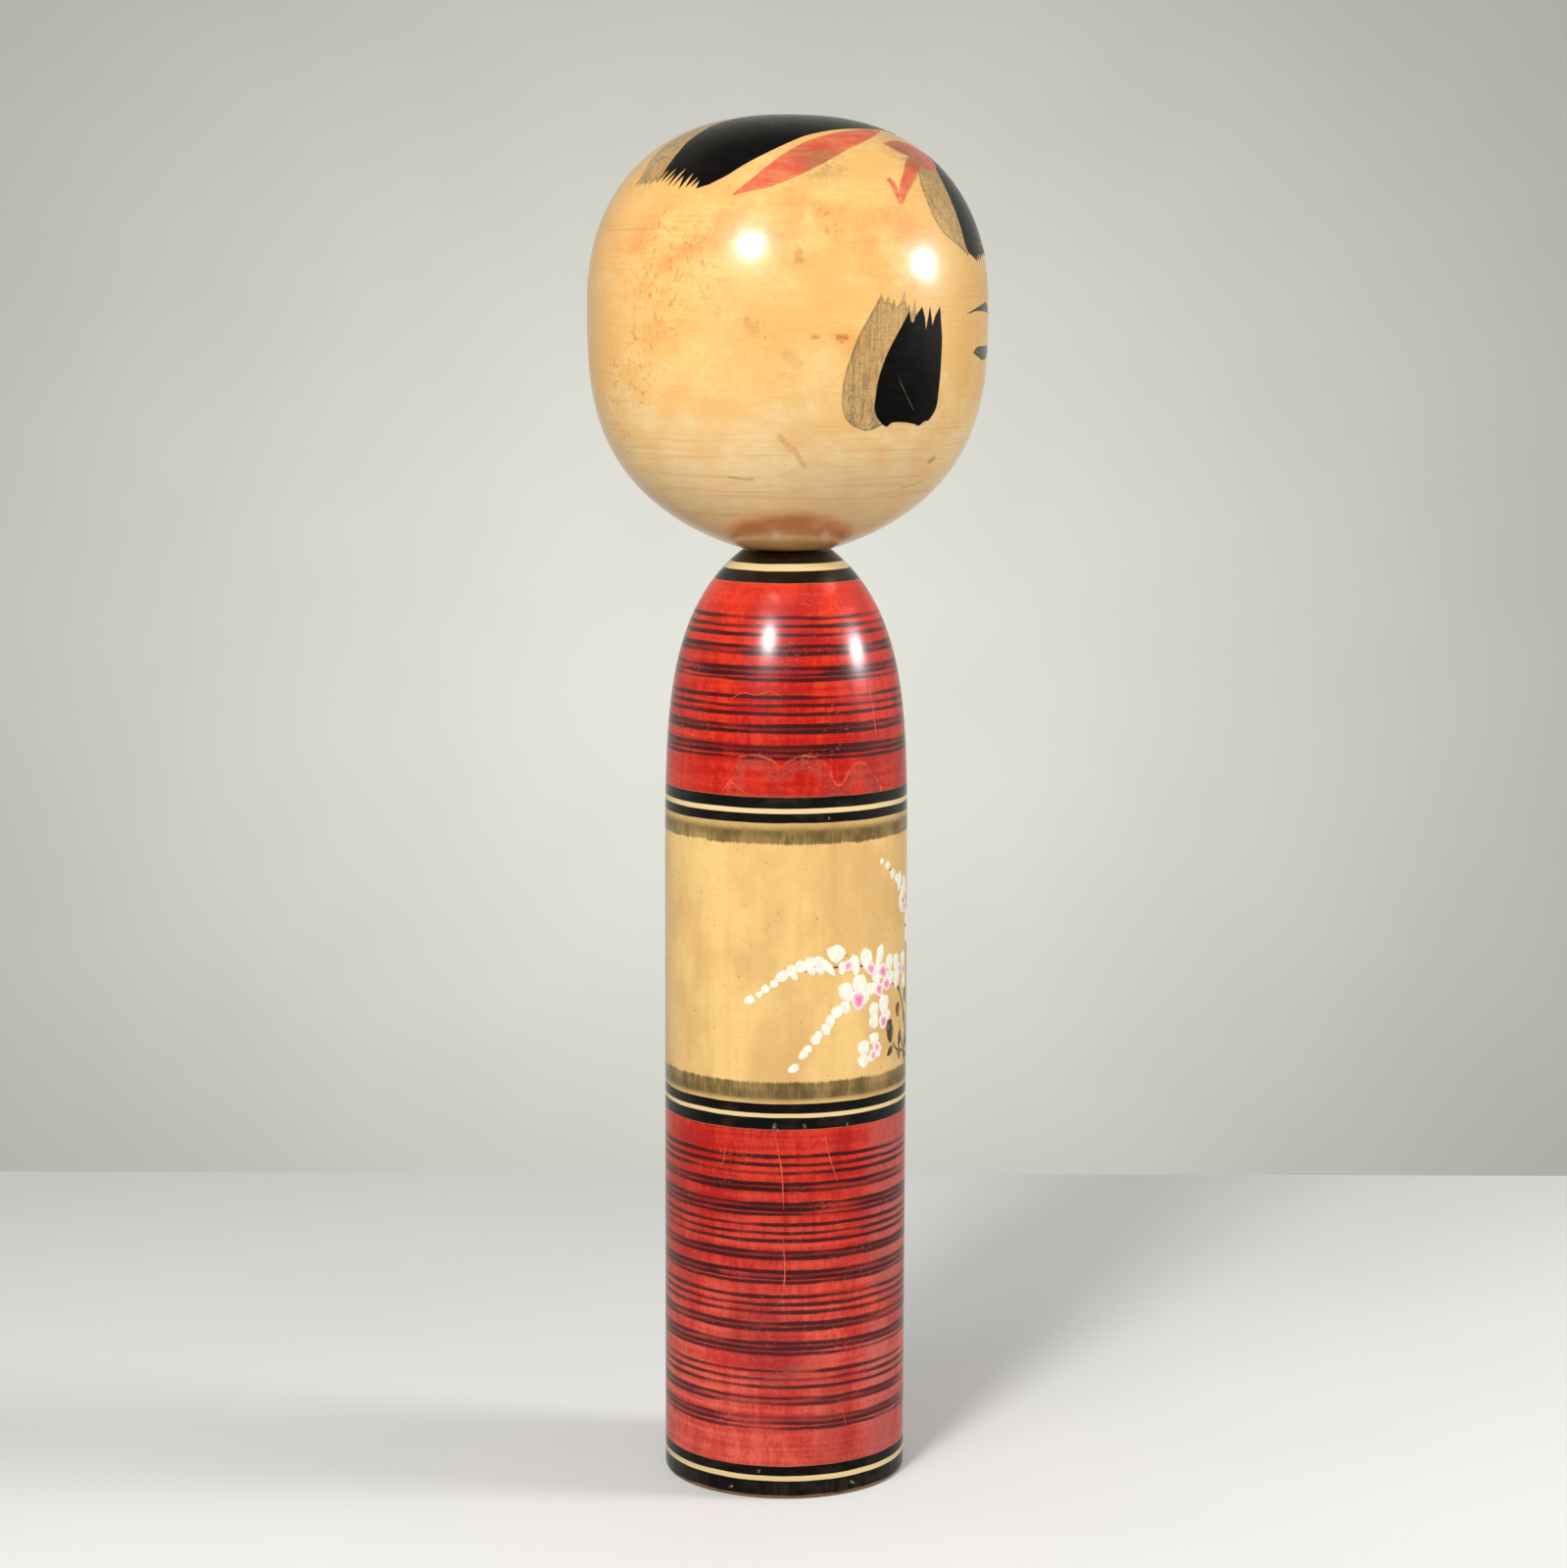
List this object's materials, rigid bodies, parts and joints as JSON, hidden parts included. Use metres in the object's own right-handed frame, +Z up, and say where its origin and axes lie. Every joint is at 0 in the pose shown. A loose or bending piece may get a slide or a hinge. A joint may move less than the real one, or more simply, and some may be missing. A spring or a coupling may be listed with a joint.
{
  "type": "kokeshi doll",
  "caption": "Turned wooden kokeshi doll with a cylindrical banded body and a large round painted head that swivels on a hidden peg.",
  "frame": {"origin": "centre of the flat base, on the surface that the doll stands on", "axes": "+Z up along the turning axis; the painted face and the middle of the flower spray look towards -Y; +X is the doll's left"},
  "size_m": [0.1054, 0.1054, 0.364],
  "materials": {
    "painted_body": "waxed gloss",
    "waxed_head": "waxed gloss",
    "bare_wood": "matte"
  },
  "bodies": {
    "torso": {"body": "painted_body"},
    "head": {"head": "waxed_head", "neck_peg": "bare_wood"}
  },
  "joints": [
    {"name": "head_turn", "type": "hinge", "parent": "torso", "child": "head", "pos_m": [0, 0, 0.2506], "axis": [0, 0, 1], "continuous": true}
  ]
}
